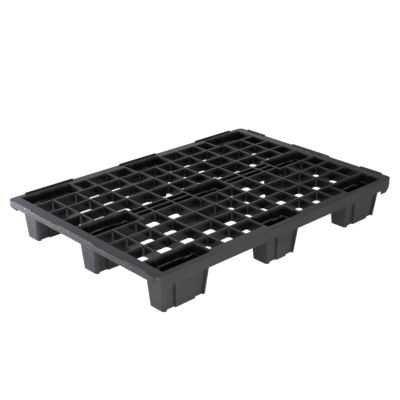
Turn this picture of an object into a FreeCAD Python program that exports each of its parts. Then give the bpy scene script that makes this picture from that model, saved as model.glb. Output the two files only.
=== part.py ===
import FreeCAD, Part
import math
import os

# Nestable nine-foot pallet, injection moulded in recycled polyolefin.
# Millimetres, +Z up, +X along the length.  The origin is on the floor under the centre of the deck.
# The deck is laid out once in the quadrant +X +Y and mirrored.  "front" is -Y, "left" is -X.

# Overall size
LENGTH = 1200.0
WIDTH = 800.0
DECK_Z = 150.0            # top of the deck above the floor
CORNER_R = 22.0           # outer corners of the deck
PLATE = 5.0               # thickness of the horizontal flange
WALL = 6.0                # upright walls round the pockets and along the flange

# Rim
SIDE_RAIL_W = 14.0        # rail along a long side, from the outer edge to the pocket walls
END_RAIL_W = 37.0         # rail along a short side
SKIRT_T = 4.0
SIDE_SKIRT = 40.0         # how far the skirt hangs below the deck on the long sides
END_SKIRT = 20.0          # and on the short sides
GUARD_SKIRT = 54.0        # and at the corner guards
GUARD_X = 63.0            # length of a corner guard along the long side
GUARD_SLOPE = 33.0        # its skirt slopes up to the short side over this length
EDGE_R = 1.0              # rounded outer edge of the flange
FLANGE_W = 36.0           # flange beside the open cells of the long sides
GUSSET_T = 4.0
GUSSET_Z = 121.0          # lowest point of the gussets under the short sides
GUSSET_SLOPE = 10.0       # their lower corner slopes up to the skirt over this length
GUSSET_Y = [10.5, 328.0, 360.0]

# Edge lips that keep a load from sliding off
LIP_H = 5.0
LIP_T = 3.5
LIP_SLOPE = 5.0           # length of the sloping end of a lip
LIP_INSET = 1.5           # from the outer face of the skirt to the lip
SIDE_LIPS = [(-529.0, -314.0), (-97.0, 97.0), (314.0, 529.0)]
END_LIPS = [(-356.0, -250.0), (-100.0, 100.0), (250.0, 356.0)]

# Foot pockets, measured inside their upper walls
END_POCKET_X = 454.5      # centre of the pockets near the short sides
SIDE_POCKET_Y = 336.0     # centre of the pockets near the long sides
END_POCKET_L = 205.0
MID_POCKET_L = 172.0
SIDE_POCKET_W = 88.0
MID_POCKET_W = 92.0
POCKET_R = 5.0
LEDGE_DEPTH = 35.0        # from the deck to the ledge where the pocket steps in to the foot
LEDGE_T = 5.0             # thickness of the ledge

# Feet, measured round their soles
END_FOOT_X = 453.0        # centre of the soles near the short sides
END_FOOT_L = 183.0
MID_FOOT_L = 147.0
SIDE_FOOT_W = 68.0
MID_FOOT_W = 72.0
FOOT_DRAFT = 0.085        # draft of the walls, mm per mm of height
FOOT_WALL = 4.5           # thickness of the walls
MOUTH_R = 4.0             # rounding of the ledge's inner edge, where a nested foot slides in
FOOT_R = 10.0             # upright corners of the feet
SOLE_T = 5.0
FLUTE_START = 14.0        # a flute runs from here to FLUTE_END, measured from the foot's corner
FLUTE_END = 50.0
FLUTE_DEPTH = 7.0
FLUTE_RUN = 1.0           # width of the sloping side of a flute

# Deck ribs
RIB_DEPTH = 37.5
RIB_TOP = 6.5
RIB_FOOT = 4.0            # ribs taper to this width at their lower edge
FINE_TOP = 5.5
FINE_FOOT = 3.5
POST = 10.5               # half the width of the square posts that stand cornerwise at rib crossings
POST_DROP = 5.0           # from the deck to the top of a post
CROSS_RIBS = [181.0, 281.0]                    # these cross the whole deck, beside the pockets
BAND_CROSS_RIBS = [80.0, 181.0, 281.0, 382.0, 482.0]
BAND_LONG_RIBS = [123.0, 205.0]
MID_LONG_RIBS = [-31.0, 0.0, 31.0]             # fine ribs between the pockets of the middle row

# Lines where the sections of the moulding meet
POCKET_X1 = END_POCKET_X - END_POCKET_L / 2 - WALL       # inner wall of the end pockets, outside
POCKET_X2 = END_POCKET_X + END_POCKET_L / 2 + WALL       # the same at the rim
MID_X = MID_POCKET_L / 2 + WALL
MID_Y = MID_POCKET_W / 2 + WALL
BAND_Y2 = SIDE_POCKET_Y - SIDE_POCKET_W / 2 - WALL
RAIL_Y = WIDTH / 2 - SIDE_RAIL_W
RAIL_X = LENGTH / 2 - END_RAIL_W
RIB_Z = DECK_Z - RIB_DEPTH
LEDGE_Z = DECK_Z - LEDGE_DEPTH
GRID_SPLIT_X = CROSS_RIBS[1] + RIB_TOP / 2


def vec(x, y, z):
    return FreeCAD.Vector(x, y, z)


def box(x0, x1, y0, y1, z0, z1):
    return Part.makeBox(x1 - x0, y1 - y0, z1 - z0, vec(x0, y0, z0))


def prism(points, direction):
    """The closed polygon through points, extruded along direction."""
    return Part.Face(Part.makePolygon(points + [points[0]])).extrude(direction)


def join(shapes):
    return shapes[0].multiFuse(shapes[1:]).removeSplitter()


def mirror_x(shape):
    return shape.mirror(vec(0, 0, 0), vec(1, 0, 0))


def mirror_y(shape):
    return shape.mirror(vec(0, 0, 0), vec(0, 1, 0))


# ---- feet -------------------------------------------------------------------------------------

def corner_arc(x, y, r, start):
    """A quarter arc round the centre (x, y), anticlockwise from the angle start in degrees."""
    ends = [math.radians(start + turn) for turn in (0, 45, 90)]
    return Part.Arc(*[vec(x + r * math.cos(a), y + r * math.sin(a), 0) for a in ends]).toShape()


def flute_points(length, width, start, end):
    """One long side of a foot's outline, left to right, with its two flutes."""
    side = -width / 2
    near = [(start, 0), (start + FLUTE_RUN, FLUTE_DEPTH), (end - FLUTE_RUN, FLUTE_DEPTH), (end, 0)]
    left = [vec(a - length / 2, side + d, 0) for a, d in near]
    right = [vec(-p.x, p.y, 0) for p in reversed(left)]
    return left + right


def foot_outline(sole_l, sole_w, z, inward=0.0):
    """A foot's outline at height z, set in by the wall thickness when inward is given."""
    length = sole_l + 2 * (FOOT_DRAFT * z - inward)
    width = sole_w + 2 * (FOOT_DRAFT * z - inward)
    r = FOOT_R - inward
    slant = math.hypot(FLUTE_RUN, FLUTE_DEPTH) / FLUTE_DEPTH
    spread = inward * (slant - FLUTE_RUN / FLUTE_DEPTH)
    start = FLUTE_START - inward - spread
    end = FLUTE_END - inward + spread
    x, y = length / 2, width / 2
    run = [vec(r - x, -y, 0)] + flute_points(length, width, start, end) + [vec(x - r, -y, 0)]
    half = [Part.LineSegment(a, b).toShape() for a, b in zip(run, run[1:])]
    half.append(corner_arc(x - r, r - y, r, -90))
    half.append(Part.LineSegment(vec(x, r - y, 0), vec(x, y - r, 0)).toShape())
    half.append(corner_arc(x - r, y - r, r, 0))
    other = [edge.rotated(vec(0, 0, 0), vec(0, 0, 1), 180) for edge in half]
    wire = Part.Wire(half + other)
    wire.translate(vec(0, 0, z))
    return wire


def foot_loft(sole_l, sole_w, *levels):
    """The solid through the foot's outlines at the given pairs of (height, inward)."""
    return Part.makeLoft([foot_outline(sole_l, sole_w, z, inward) for z, inward in levels], True, True)


def rounded_box(length, width, r, z0, z1):
    """A box about the Z axis with rounded upright edges."""
    body = box(-length / 2, length / 2, -width / 2, width / 2, z0, z1)
    upright = [e for e in body.Edges if abs(e.BoundBox.ZLength - (z1 - z0)) < 1e-6]
    return body.makeFillet(r, upright)


def foot_cup(x, y, pocket_l, pocket_w, sole_x, sole_l, sole_w):
    """One foot: its pocket walls at deck level, the ledge, and the hollow fluted cup below."""
    reach_x, reach_y = pocket_l / 2 + WALL, pocket_w / 2 + WALL
    collar = box(-reach_x, reach_x, -reach_y, reach_y, LEDGE_Z - LEDGE_T, DECK_Z)
    outside = foot_loft(sole_l, sole_w, (0, 0), (LEDGE_Z - LEDGE_T / 2, 0))
    inside = foot_loft(sole_l, sole_w, (SOLE_T, FOOT_WALL), (LEDGE_Z + 1, FOOT_WALL))
    mouth = foot_loft(sole_l, sole_w, *[(LEDGE_Z - MOUTH_R * (1 - math.sin(turn)),
                                         FOOT_WALL - MOUTH_R * (1 - math.cos(turn)))
                                        for turn in [math.radians(a) for a in (0, 30, 60, 90)]])
    for part in (outside, inside, mouth):
        part.translate(vec(sole_x - x, 0, 0))
    pocket_space = rounded_box(pocket_l, pocket_w, POCKET_R, LEDGE_Z, DECK_Z + 1)
    cup = collar.fuse(outside).cut(inside).cut(mouth).cut(pocket_space).removeSplitter()
    cup.translate(vec(x, y, 0))
    return cup


# ---- rim --------------------------------------------------------------------------------------

def rail_profile(width, skirt):
    """Points of an L section in (outward, up): flange, rounded outer edge and skirt."""
    top = DECK_Z
    turn = [math.radians(a) for a in (90, 67.5, 45, 22.5, 0)]
    rounding = [(EDGE_R * (math.cos(a) - 1), top + EDGE_R * (math.sin(a) - 1)) for a in turn]
    under = [(0, top - skirt), (-SKIRT_T, top - skirt), (-SKIRT_T, top - PLATE), (-width, top - PLATE)]
    return [(-width, top)] + rounding + under


def lip(u0, u1, outer):
    """An edge lip along X from u0 to u1, its outer face at Y = outer."""
    z0, z1 = DECK_Z, DECK_Z + LIP_H
    y = outer - LIP_INSET - LIP_T
    points = [vec(u0, y, z0), vec(u1, y, z0), vec(u1 - LIP_SLOPE, y, z1), vec(u0 + LIP_SLOPE, y, z1)]
    return prism(points, vec(0, LIP_T, 0))


def side_rail():
    """The rim along the back long side."""
    half = LENGTH / 2 - GUARD_X
    points = [vec(-half, WIDTH / 2 + u, z) for u, z in rail_profile(SIDE_RAIL_W, SIDE_SKIRT)]
    parts = [prism(points, vec(2 * half, 0, 0))]
    for x in CROSS_RIBS:
        for s in (x, -x):
            parts.append(rib_y(s, RAIL_Y, WIDTH / 2 - SKIRT_T / 2, RIB_TOP, RIB_FOOT, PLATE / 2))
    for u0, u1 in SIDE_LIPS:
        parts.append(lip(u0, u1, WIDTH / 2))
    return join(parts)


def end_rail():
    """The rim along the right short side, with its gussets."""
    half = WIDTH / 2 - CORNER_R
    points = [vec(LENGTH / 2 + u, -half, z) for u, z in rail_profile(END_RAIL_W, END_SKIRT)]
    parts = [prism(points, vec(0, 2 * half, 0))]
    x1, z1 = LENGTH / 2 - SKIRT_T / 2, DECK_Z - PLATE / 2
    for y in [side * g - GUSSET_T / 2 for g in GUSSET_Y for side in (-1, 1)]:
        points = [vec(RAIL_X, y, z1), vec(RAIL_X, y, GUSSET_Z), vec(x1 - GUSSET_SLOPE, y, GUSSET_Z),
                  vec(x1, y, DECK_Z - END_SKIRT), vec(x1, y, z1)]
        parts.append(prism(points, vec(0, GUSSET_T, 0)))
    for u0, u1 in END_LIPS:
        along_x = lip(u0, u1, LENGTH / 2)
        parts.append(along_x.rotated(vec(0, 0, 0), vec(0, 0, 1), -90))
    return join(parts)


def guard_plan(inset, z):
    """Outline of a corner guard at height z, its rounded outer edge set in by inset."""
    x0, y0 = LENGTH / 2 - GUARD_X, WIDTH / 2 - CORNER_R
    xr, yr = LENGTH / 2 - CORNER_R, WIDTH / 2 - CORNER_R
    r = CORNER_R - inset
    x_out, y_out = LENGTH / 2 - inset, WIDTH / 2 - inset
    corners = [vec(x0, y_out, z), vec(x0, RAIL_Y, z), vec(RAIL_X, RAIL_Y, z), vec(RAIL_X, y0, z),
               vec(x_out, y0, z)]
    edges = [Part.LineSegment(a, b).toShape() for a, b in zip(corners, corners[1:])]
    arc = corner_arc(xr, yr, r, 0)
    arc.translate(vec(0, 0, z))
    edges.append(arc)
    edges.append(Part.LineSegment(vec(xr, y_out, z), vec(x0, y_out, z)).toShape())
    return Part.Wire(edges)


def corner_guard():
    """The reinforced back right corner: its skirt hangs lowest and slopes up round the corner."""
    top = Part.Face(guard_plan(0, DECK_Z - PLATE)).extrude(vec(0, 0, PLATE))
    rounded = [e for e in top.Edges
               if e.BoundBox.ZMin > DECK_Z - 0.01
               and (e.BoundBox.YMin > WIDTH / 2 - 0.01 or e.Curve.TypeId == "Part::GeomCircle")]
    top = top.makeFillet(EDGE_R, rounded)
    low = DECK_Z - GUARD_SKIRT
    solid = Part.Face(guard_plan(0, low)).extrude(vec(0, 0, GUARD_SKIRT - PLATE))
    hollow = Part.Face(guard_plan(SKIRT_T, low)).extrude(vec(0, 0, GUARD_SKIRT - PLATE))
    skirt = solid.cut(hollow)
    x0, x1 = LENGTH / 2 - GUARD_SLOPE, LENGTH / 2
    slope = [vec(x0, 0, low - 1), vec(x1 + 1, 0, low - 1), vec(x1 + 1, 0, DECK_Z - END_SKIRT),
             vec(x1, 0, DECK_Z - END_SKIRT), vec(x0, 0, low)]
    skirt = skirt.cut(prism(slope, vec(0, WIDTH, 0)))
    return join([top, skirt])


# ---- deck grids -------------------------------------------------------------------------------

def rib_section(top_w, foot_w, drop=0.0):
    """Half widths and heights of a tapered rib, its top lowered by drop to lie under a flange."""
    return [(-foot_w / 2, RIB_Z), (foot_w / 2, RIB_Z), (top_w / 2, DECK_Z - drop),
            (-top_w / 2, DECK_Z - drop)]


def rib_x(y, x0, x1, top_w=RIB_TOP, foot_w=RIB_FOOT):
    """A rib along X."""
    return prism([vec(x0, y + u, z) for u, z in rib_section(top_w, foot_w)], vec(x1 - x0, 0, 0))


def rib_y(x, y0, y1, top_w=RIB_TOP, foot_w=RIB_FOOT, drop=0.0):
    """A rib along Y."""
    points = [vec(x + u, y0, z) for u, z in rib_section(top_w, foot_w, drop)]
    return prism(points, vec(0, y1 - y0, 0))


def posts(xs, ys):
    """Posts that stand cornerwise under the deck at every crossing of the lines xs and ys."""
    made = []
    for x in xs:
        for y in ys:
            points = [vec(x + POST, y, RIB_Z), vec(x, y + POST, RIB_Z), vec(x - POST, y, RIB_Z),
                      vec(x, y - POST, RIB_Z)]
            made.append(prism(points, vec(0, 0, RIB_DEPTH - POST_DROP)))
    return made


def grid(parts, x0, x1, y0, y1):
    """The ribs, walls and posts in parts as one section, cut off at its four sides."""
    return join(parts).common(box(x0, x1, y0, y1, 0, DECK_Z)).removeSplitter()


def outer_grid():
    """The deck between two pockets of the back row, out to the rail, on the right."""
    x0, x1, web = MID_X, POCKET_X1, WIDTH / 2 - FLANGE_W
    inner_line, web_line = BAND_Y2 + WALL / 2, web + WALL / 2
    parts = [box(x0, x1, BAND_Y2, BAND_Y2 + WALL, RIB_Z, DECK_Z)]
    parts.append(box(x0, x1, web, web + WALL, RIB_Z, DECK_Z))
    parts.append(box(x0, x1, web, RAIL_Y, DECK_Z - PLATE, DECK_Z))
    for x in CROSS_RIBS:
        parts.append(rib_y(x, inner_line, web_line))
        parts.append(rib_y(x, web_line, RAIL_Y, drop=PLATE / 2))
    parts += posts(CROSS_RIBS, [inner_line, web_line])
    return grid(parts, x0, x1, BAND_Y2, RAIL_Y)


def middle_grid():
    """The deck between the pockets of the middle row, on the right."""
    parts = [rib_x(y, MID_X, POCKET_X1, FINE_TOP, FINE_FOOT) for y in MID_LONG_RIBS]
    parts += [rib_y(x, -MID_Y, MID_Y) for x in CROSS_RIBS]
    parts += posts(CROSS_RIBS, MID_LONG_RIBS)
    return grid(parts, MID_X, POCKET_X1, -MID_Y, MID_Y)


def band_grid(x0, x1, cross_ribs):
    """Ribs and posts of the back band, between the rows of pockets, from x0 to x1."""
    parts = [rib_x(y, x0, x1) for y in BAND_LONG_RIBS]
    parts += [rib_y(x, MID_Y, BAND_Y2) for x in cross_ribs]
    parts += posts(cross_ribs, [MID_Y - WALL / 2] + BAND_LONG_RIBS + [BAND_Y2 + WALL / 2])
    return parts


def band_centre_grid():
    """The middle part of the back band."""
    near = [x for x in BAND_CROSS_RIBS if x < GRID_SPLIT_X]
    parts = band_grid(-GRID_SPLIT_X, GRID_SPLIT_X, [-x for x in near] + [0.0] + near)
    return grid(parts, -GRID_SPLIT_X, GRID_SPLIT_X, MID_Y, BAND_Y2)


def band_end_grid():
    """The right end of the back band, out to the short side."""
    parts = band_grid(GRID_SPLIT_X, POCKET_X2, [x for x in BAND_CROSS_RIBS if x > GRID_SPLIT_X])
    parts += posts([CROSS_RIBS[1], POCKET_X2 - WALL / 2], BAND_LONG_RIBS)
    parts.append(box(POCKET_X2 - WALL, POCKET_X2, MID_Y, BAND_Y2, RIB_Z, DECK_Z))
    return grid(parts, GRID_SPLIT_X, POCKET_X2, MID_Y, BAND_Y2)


def nodes():
    """Every section of the moulding by name."""
    made = {}
    columns = {"left": (-END_POCKET_X, END_POCKET_L, -END_FOOT_X, END_FOOT_L),
               "centre": (0.0, MID_POCKET_L, 0.0, MID_FOOT_L),
               "right": (END_POCKET_X, END_POCKET_L, END_FOOT_X, END_FOOT_L)}
    rows = {"front": (-SIDE_POCKET_Y, SIDE_POCKET_W, SIDE_FOOT_W),
            "middle": (0.0, MID_POCKET_W, MID_FOOT_W),
            "back": (SIDE_POCKET_Y, SIDE_POCKET_W, SIDE_FOOT_W)}
    for row, (y, pocket_w, sole_w) in rows.items():
        for column, (x, pocket_l, sole_x, sole_l) in columns.items():
            made[f"foot_{row}_{column}"] = foot_cup(x, y, pocket_l, pocket_w, sole_x, sole_l, sole_w)
    for name, shape in (("corner_guard", corner_guard()), ("outer_grid", outer_grid()),
                        ("band_grid", band_end_grid())):
        made[f"{name}_back_right"] = shape
        made[f"{name}_back_left"] = mirror_x(shape)
        made[f"{name}_front_right"] = mirror_y(shape)
        made[f"{name}_front_left"] = mirror_y(mirror_x(shape))
    for name, shape in (("side_rail", side_rail()), ("band_grid_centre", band_centre_grid())):
        made[f"{name}_back"] = shape
        made[f"{name}_front"] = mirror_y(shape)
    for name, shape in (("end_rail", end_rail()), ("middle_grid", middle_grid())):
        made[f"{name}_right"] = shape
        made[f"{name}_left"] = mirror_x(shape)
    return made


os.makedirs("parts", exist_ok=True)
for node, shape in nodes().items():
    print(node, len(shape.Solids), shape.isValid(), round(shape.Volume / 1000), "cm3")
    shape.exportStep(f"parts/{node}.step")
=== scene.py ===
import bpy
import math
from mathutils import Matrix, Vector


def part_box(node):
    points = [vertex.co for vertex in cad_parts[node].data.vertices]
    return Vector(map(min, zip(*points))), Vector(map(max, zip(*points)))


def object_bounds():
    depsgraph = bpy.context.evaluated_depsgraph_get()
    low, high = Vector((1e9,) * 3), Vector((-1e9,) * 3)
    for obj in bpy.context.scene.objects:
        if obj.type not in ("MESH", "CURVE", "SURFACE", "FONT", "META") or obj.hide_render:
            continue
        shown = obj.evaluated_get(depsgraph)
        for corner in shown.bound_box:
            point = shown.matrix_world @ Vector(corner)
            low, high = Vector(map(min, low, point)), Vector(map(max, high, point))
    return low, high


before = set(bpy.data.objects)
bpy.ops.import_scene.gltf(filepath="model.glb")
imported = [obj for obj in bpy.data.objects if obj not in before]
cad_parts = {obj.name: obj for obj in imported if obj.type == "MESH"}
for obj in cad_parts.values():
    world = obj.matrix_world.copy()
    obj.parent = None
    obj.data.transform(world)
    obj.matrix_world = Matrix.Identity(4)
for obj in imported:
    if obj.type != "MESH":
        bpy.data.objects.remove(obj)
cad_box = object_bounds()

# ---- the frame's own measures, in metres -------------------------------------------------------
LOW, HIGH = (Vector(corner) for corner in cad_box)
CENTRE = (LOW + HIGH) / 2
LENGTH, WIDTH = (HIGH - LOW).xy
DECK_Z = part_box("outer_grid_back_right")[1][2]
SIDE_SKIRT_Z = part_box("side_rail_front")[0][2]  # lower edge of the skirts on the long sides
END_SKIRT_Z = DECK_Z - 0.020                    # and of those on the short sides
LEDGE_Z = DECK_Z - 0.035                        # the ledge in a foot's pocket

# ---- camera: the photograph's view of the deck -------------------------------------------------
VIEW_AZIMUTH = math.radians(45.77)              # heading of the view, from +X towards +Y
VIEW_DOWN = math.radians(23.278)
VIEW_ROLL = math.radians(0.795)
CAMERA_FROM_DECK = Vector((-2.0427, -2.0616, 1.1992))   # from the centre of the deck's top
SENSOR = 36.0                                   # millimetres, as is the lens
LENS = 76.67


def add_camera():
    data = bpy.data.cameras.new("camera")
    data.sensor_width = SENSOR
    data.lens = LENS
    camera = bpy.data.objects.new("camera", data)
    bpy.context.scene.collection.objects.link(camera)
    ahead = Vector((math.cos(VIEW_AZIMUTH) * math.cos(VIEW_DOWN),
                    math.sin(VIEW_AZIMUTH) * math.cos(VIEW_DOWN), -math.sin(VIEW_DOWN)))
    side = ahead.cross(Vector((0, 0, 1))).normalized()
    up = side.cross(ahead)
    right = math.cos(VIEW_ROLL) * side + math.sin(VIEW_ROLL) * up
    above = -math.sin(VIEW_ROLL) * side + math.cos(VIEW_ROLL) * up
    turn = Matrix((right, above, -ahead)).transposed()
    place = Vector((CENTRE.x, CENTRE.y, DECK_Z)) + CAMERA_FROM_DECK
    camera.matrix_world = Matrix.Translation(place) @ turn.to_4x4()
    bpy.context.scene.camera = camera


# ---- light and floor ---------------------------------------------------------------------------
SURROUND = 0.29         # strength of the even white surround
FLOOR_HALF = 40.0       # the floor that is seen reaches this far each way
FLOOR_DROP = 0.0005     # and lies this far under the soles
FLOOR_WHITE = 0.8
FLOOR_GLOW = 0.9
BOUNCE_HALF = 12.0      # the floor that lights the pallet reaches this far
BOUNCE_WHITE = 0.85
SHEET_ROUGH = 0.9


def add_softbox(name, place, aim, size, power, colour):
    """A large soft lamp at place, in metres, turned to the point aim, its power in watts."""
    data = bpy.data.lights.new(name, "AREA")
    data.shape = "RECTANGLE"
    data.size, data.size_y = size
    data.energy = power
    data.color = colour
    lamp = bpy.data.objects.new(name, data)
    lamp.location = place
    lamp.visible_camera = False
    lamp.rotation_euler = (Vector(aim) - Vector(place)).to_track_quat("-Z", "Y").to_euler()
    bpy.context.scene.collection.objects.link(lamp)


def add_world(strength):
    """An even white surround, and plain display colours, so that the white floor shows as white."""
    bpy.context.scene.view_settings.view_transform = "Standard"
    world = bpy.data.worlds.new("studio")
    world.use_nodes = True
    background = world.node_tree.nodes["Background"]
    background.inputs["Color"].default_value = (1, 1, 1, 1)
    background.inputs["Strength"].default_value = strength
    bpy.context.scene.world = world


def add_studio():
    """Two large softboxes behind, two low ones that graze the near sides, and the surround."""
    add_softbox("softbox_back", (2.2, 3.8, 1.8), (0, 0, 0.1), size=(4.0, 2.0),
                power=12.0, colour=(0.80, 0.86, 1.0))
    add_softbox("softbox_back_left", (0.2, 3.6, 1.5), (0, 0, 0.1), size=(2.4, 1.6),
                power=7.4, colour=(0.69, 0.78, 1.0))
    add_softbox("softbox_low_front", (-1.2, -2.4, 0.3), (-0.4, -0.4, 0.03), size=(1.6, 0.5),
                power=127, colour=(0.98, 1.0, 0.95))
    add_softbox("softbox_low_left", (-1.6, 1.4, 0.27), (-0.7, 0.5, 0), size=(1.0, 0.4),
                power=112, colour=(0.90, 0.89, 1.0))
    add_world(SURROUND)


def add_sheet(name, half, height, white, glow):
    """A plain square sheet that reaches half each way, at a height, with a glow of its own."""
    mesh = bpy.data.meshes.new(name)
    corners = [(-half, -half, height), (half, -half, height), (half, half, height), (-half, half, height)]
    mesh.from_pydata(corners, [], [(0, 1, 2, 3)])
    sheet = bpy.data.objects.new(name, mesh)
    bpy.context.scene.collection.objects.link(sheet)
    material = bpy.data.materials.new(name)
    material.use_nodes = True
    shader = material.node_tree.nodes["Principled BSDF"]
    shader.inputs["Base Color"].default_value = (white, white, white, 1)
    shader.inputs["Roughness"].default_value = SHEET_ROUGH
    shader.inputs["Emission Color"].default_value = (1, 1, 1, 1)
    shader.inputs["Emission Strength"].default_value = glow
    mesh.materials.append(material)
    return sheet


def add_floor():
    """The white floor that is seen, and the one that lights the pallet, which isn't."""
    seen = add_sheet("floor", FLOOR_HALF, -FLOOR_DROP, FLOOR_WHITE, FLOOR_GLOW)
    seen.visible_diffuse = seen.visible_glossy = seen.visible_shadow = False
    bounce = add_sheet("floor_bounce", BOUNCE_HALF, 0.0, BOUNCE_WHITE, 0.0)
    bounce.visible_camera = False


# ---- material: colours and amounts -------------------------------------------------------------
BLACK = (0.0125, 0.0128, 0.0135, 1)
SMOKY = (0.0175, 0.0178, 0.0185, 1)     # streaks where the recyclate is paler
SCUFF_AND_POCKET_LIGHT = (0.060, 0.061, 0.063, 1)      # plastic rubbed pale, and the painted light on the pockets' walls
DUST = (0.085, 0.080, 0.074, 1)
LEDGE_HIGHLIGHT_WHITE = (0.52, 0.52, 0.525, 1)         # painted highlight on the ledges' rounded inner edges, where they catch the light

# Shares of the paler colour that each kind of wear, and the painted light in the pockets, brings in
RUBBED_DECK = 0.125
SCRATCHED = 0.05                        # away from the deck
SCRATCHED_DECK = 0.45                   # on top of that, on the deck
KNOCKED = 0.07
POCKET_LIGHT_EVEN = 0.16                    # painted light, even all over the pockets' walls
POCKET_LIGHT_STREAKED = 0.30                  # painted light on top of that, in upright streaks
DUSTY = 0.6

SMOOTHEST, ROUGHEST = 0.22, 0.31        # roughness of the clean plastic
WORN_ROUGHER = 0.22                     # added where it is worn or dusty

# Depth of the relief, in metres
SHRINKAGE_DEPTH = 0.0003
GRAIN_DEPTH = 0.00001
WEAR_DEPTH = 0.00002

# Reach of the masks, in metres
RIM_REACH = (0.001, 0.004)              # in from the outer faces
EDGE_REACH = (0.001, 0.003)             # above and below the deck at the rim
SKIRT_REACH = (0.001, 0.004)            # up from a skirt's lower edge
SOLE_REACH = (0.001, 0.007)             # up from the floor
DECK_REACH = (0.0005, 0.002)            # down from the deck's top
DUST_REACH = (0.012, 0.030)             # down from the deck's top, where dust begins to lie
LEDGE_MIDDLE = 0.001                    # from the ledge down to the middle of its rounded edge
LEDGE_REACH = 0.003                     # up and down from that middle
HALF_WALL = 0.003                       # half the thickness of a pocket's wall

# How far a face looks up: 0 on an upright wall, 1 on a floor
UPRIGHT = 0.3
FACING_UP = (0.6, 0.95)
SLOPE_BEGINS = (0.1, 0.5)
SLOPE_ENDS = (0.85, 0.99)


class Shading:
    """Short calls that add nodes to a material and join them up.

    Its place is the position on the pallet, because the pallet's nodes all share one frame.
    """

    def __init__(self, name):
        self.material = bpy.data.materials.new(name)
        self.material.use_nodes = True
        self.tree = self.material.node_tree
        self.shader = self.tree.nodes["Principled BSDF"]
        self.place = self.node("ShaderNodeTexCoord", {}, output="Object")
        axes = self.node("ShaderNodeSeparateXYZ", {"Vector": self.place}).node
        self.x, self.y, self.z = (axes.outputs[axis] for axis in "XYZ")
        facing = self.node("ShaderNodeNewGeometry", {}, output="Normal")
        self.upward = self.node("ShaderNodeSeparateXYZ", {"Vector": facing}, output="Z")

    def node(self, kind, inputs, output=0, **settings):
        made = self.tree.nodes.new(kind)
        for key, value in settings.items():
            setattr(made, key, value)
        for key, value in inputs.items():
            self.feed(value, made.inputs[key])
        return made.outputs[output]

    def feed(self, value, socket):
        if isinstance(value, bpy.types.NodeSocket):
            self.tree.links.new(value, socket)
        else:
            socket.default_value = value

    def math(self, operation, a, b=0.0, c=0.0):
        return self.node("ShaderNodeMath", {0: a, 1: b, 2: c}, operation=operation)

    def product(self, first, *others):
        for other in others:
            first = self.math("MULTIPLY", first, other)
        return first

    def largest(self, first, *others):
        for other in others:
            first = self.math("MAXIMUM", first, other)
        return first

    def inverse(self, value):
        return self.math("SUBTRACT", 1.0, value)

    def near(self, value, middle, reach):
        """1 within reach of middle, otherwise 0."""
        return self.math("COMPARE", value, middle, reach)

    def step(self, value, low, high):
        """0 below low, 1 above high, and smooth between them."""
        inputs = {"Value": value, "From Min": low, "From Max": high}
        return self.node("ShaderNodeMapRange", inputs, interpolation_type="SMOOTHSTEP")

    def spread(self, share, low, high):
        """low where share is 0, high where it is 1."""
        return self.node("ShaderNodeMapRange", {"Value": share, "To Min": low, "To Max": high})

    def noise(self, scale, detail, stretch=(1, 1, 1), turn=0.0):
        """Noise of scale features to a metre, at the place first stretched and then turned."""
        moved = self.node("ShaderNodeMapping",
                          {"Vector": self.place, "Scale": stretch, "Rotation": (0, 0, turn)})
        return self.node("ShaderNodeTexNoise", {"Vector": moved, "Scale": scale, "Detail": detail})

    def patches(self, scale, detail, low, high, **moved):
        """Soft patches: 0 where the noise is below low, 1 where it is above high."""
        return self.step(self.noise(scale, detail, **moved), low, high)

    def mix(self, share, a, b):
        """Colour a where share is 0, b where it is 1. The node's colour sockets go by number."""
        inputs = {"Factor": share, 6: a, 7: b}
        return self.node("ShaderNodeMix", inputs, output=2, data_type="RGBA")

    def bump(self, height, depth, normal=None):
        inputs = {"Height": height, "Distance": depth}
        if normal is not None:
            inputs["Normal"] = normal
        return self.node("ShaderNodeBump", inputs)


# ---- material: where it is worn, and where light is painted on ---------------------------------

def edge_mask(s):
    """1 along the edges that get knocked: the rim, the skirts' lower edges and round the soles."""
    out_x = s.math("SUBTRACT", s.math("ABSOLUTE", s.x), LENGTH / 2)
    out_y = s.math("SUBTRACT", s.math("ABSOLUTE", s.y), WIDTH / 2)
    least, most = RIM_REACH
    rim = s.step(s.largest(out_x, out_y), -most, -least)
    short_side = s.math("GREATER_THAN", out_x, -most)
    off_deck = s.math("ABSOLUTE", s.math("SUBTRACT", s.z, DECK_Z))
    top = s.inverse(s.step(off_deck, *EDGE_REACH))
    lower = s.spread(short_side, SIDE_SKIRT_Z, END_SKIRT_Z)
    skirt = s.inverse(s.step(s.math("SUBTRACT", s.z, lower), *SKIRT_REACH))
    sole = s.inverse(s.step(s.z, *SOLE_REACH))
    return s.largest(s.product(rim, s.largest(top, skirt)), sole)


def deck_mask(s, up):
    """1 on the deck's top."""
    least, most = DECK_REACH
    return s.product(up, s.step(s.z, DECK_Z - most, DECK_Z - least))


def pocket_mask(s):
    """1 on the upright walls of the feet's pockets above the ledge."""
    masks = []
    for axis, along, feet in ((0, s.x, ("front_left", "front_centre", "front_right")),
                              (1, s.y, ("front_left", "middle_left", "back_left"))):
        spans = []
        for foot in feet:
            low, high = (corner[axis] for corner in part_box("foot_" + foot))
            spans.append(s.near(along, (low + high) / 2, (high - low) / 2 - HALF_WALL))
        masks.append(s.largest(*spans))
    above_ledge = s.math("GREATER_THAN", s.z, LEDGE_Z)
    upright = s.math("LESS_THAN", s.math("ABSOLUTE", s.upward), UPRIGHT)
    return s.product(*masks, above_ledge, upright)


def scratches(s):
    """Thin scratches along the pallet's width, in three sets from three turns of the noise."""
    lines = []
    for degrees in (12, 68, 131):
        lines.append(s.patches(9.0, 1.0, 0.73, 0.79, stretch=(32, 0.9, 3), turn=math.radians(degrees)))
    return s.largest(*lines)


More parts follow.
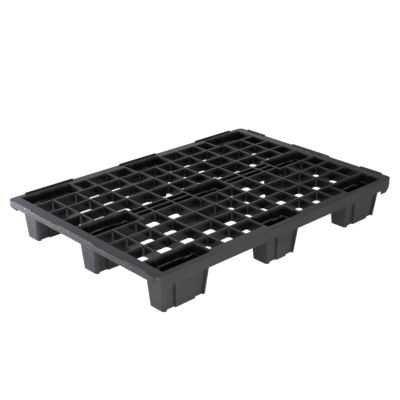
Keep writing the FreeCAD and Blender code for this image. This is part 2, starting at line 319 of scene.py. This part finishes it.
def surface_wear(s, deck):
    """Rubbed patches and scratches, most of them on the deck, and knocks along the edges."""
    rub_and_pocket_light = s.product(s.patches(23.0, 5.0, 0.48, 0.74), deck, RUBBED_DECK)
    scratched = s.math("ADD", SCRATCHED, s.product(deck, SCRATCHED_DECK))
    scored = s.product(scratches(s), scratched)
    knocks = s.product(edge_mask(s), s.patches(85.0, 4.0, 0.52, 0.72), KNOCKED)
    return s.largest(rub_and_pocket_light, scored, knocks)


def painted_pocket_light(s):
    """Painted light on the pockets' walls: even all over, and stronger in upright streaks."""
    streaks = s.patches(45.0, 2.0, 0.4, 0.65, stretch=(1, 1, 0.07))
    rub_and_pocket_light = s.math("ADD", POCKET_LIGHT_EVEN, s.product(streaks, POCKET_LIGHT_STREAKED))
    return s.product(rub_and_pocket_light, pocket_mask(s))


def painted_ledge_highlight(s):
    """A painted highlight along the rounded inner edges of the ledges, broken into patches."""
    ledge = s.near(s.z, LEDGE_Z - LEDGE_MIDDLE, LEDGE_REACH)
    sloping = s.math("SUBTRACT", s.step(s.upward, *SLOPE_BEGINS), s.step(s.upward, *SLOPE_ENDS))
    return s.product(ledge, sloping, s.patches(30.0, 3.0, 0.34, 0.70))


def settled_dust(s, up):
    """Dust on what faces up, well under the deck."""
    least, most = DUST_REACH
    deep = s.inverse(s.step(s.z, DECK_Z - most, DECK_Z - least))
    return s.product(up, deep, s.patches(55.0, 6.0, 0.40, 0.75))


def recycled_plastic():
    s = Shading("moulded_plastic")
    up = s.step(s.upward, *FACING_UP)
    wear = surface_wear(s, deck_mask(s, up))
    dust = settled_dust(s, up)

    streaks = s.patches(7.0, 4.0, 0.35, 0.72, stretch=(1, 2.6, 5))
    colour = s.mix(streaks, BLACK, SMOKY)
    # the pale colour here carries the wear and also painted light on the pockets' walls
    colour = s.mix(s.largest(wear, painted_pocket_light(s)), colour, SCUFF_AND_POCKET_LIGHT)
    # the near-white ledge colour here is a painted highlight on the ledges' rounded edges
    colour = s.mix(painted_ledge_highlight(s), colour, LEDGE_HIGHLIGHT_WHITE)
    s.feed(s.mix(s.product(dust, DUSTY), colour, DUST), s.shader.inputs["Base Color"])

    clean = s.spread(s.noise(18.0, 3.0), SMOOTHEST, ROUGHEST)
    rough = s.math("ADD", clean, s.product(s.largest(wear, dust), WORN_ROUGHER))
    s.feed(rough, s.shader.inputs["Roughness"])

    shrinkage = s.bump(s.noise(12.0, 1.0), SHRINKAGE_DEPTH)
    grain = s.bump(s.noise(700.0, 2.0), GRAIN_DEPTH, shrinkage)
    s.feed(s.bump(s.inverse(wear), WEAR_DEPTH, grain), s.shader.inputs["Normal"])
    return s.material


add_camera()
add_studio()
add_floor()
plastic = recycled_plastic()
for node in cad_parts.values():
    for cad_slot in node.material_slots:
        cad_slot.material = plastic
